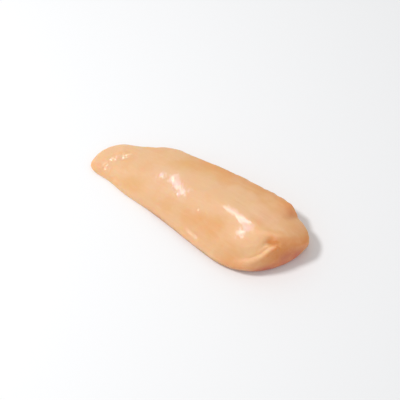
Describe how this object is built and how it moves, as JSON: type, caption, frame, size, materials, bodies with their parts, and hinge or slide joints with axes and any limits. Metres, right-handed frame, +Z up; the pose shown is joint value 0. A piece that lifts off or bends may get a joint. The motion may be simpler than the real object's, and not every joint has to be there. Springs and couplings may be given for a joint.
{
  "type": "raw chicken breast",
  "caption": "Skinless, boneless raw chicken breast fillet lying flat, with a thick rounded shoulder end, a folded muscle flap and a thin tapering tail.",
  "frame": {"origin": "middle of the flat underside, under the centre of the bounding box", "axes": "+X along the length towards the thick shoulder end, +Y towards the straighter long side, +Z up"},
  "size_m": [0.19, 0.073, 0.031],
  "materials": {
    "raw_meat": "moist pale peach raw poultry meat with a thin clear membrane"
  },
  "bodies": {
    "root": {"chicken_breast": "raw_meat"}
  },
  "joints": []
}
